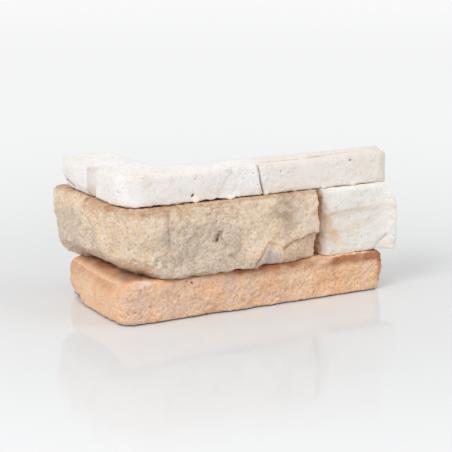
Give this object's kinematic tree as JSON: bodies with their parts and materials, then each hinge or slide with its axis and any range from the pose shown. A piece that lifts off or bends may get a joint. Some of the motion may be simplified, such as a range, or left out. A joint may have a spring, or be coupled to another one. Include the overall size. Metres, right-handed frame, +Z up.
{
  "type": "corner stone cladding",
  "caption": "Corner stone cladding: L-shaped cast corner stones laid in courses, with a red brick course, a split-face stone course and a white brick course.",
  "frame": {"origin": "centre of the outline at the foot of the lowest stone", "axes": "+Z up, +X along the long legs towards their free ends, +Y along the short legs towards their free ends"},
  "size_m": [0.3169, 0.169, 0.1395],
  "materials": {
    "red_brick": "matt",
    "split_stone": "matt",
    "white_stone": "matt"
  },
  "bodies": {
    "root": {"red_brick_corner": "red_brick", "split_stone_corner": "split_stone", "white_brick_corner": "white_stone"}
  },
  "joints": []
}
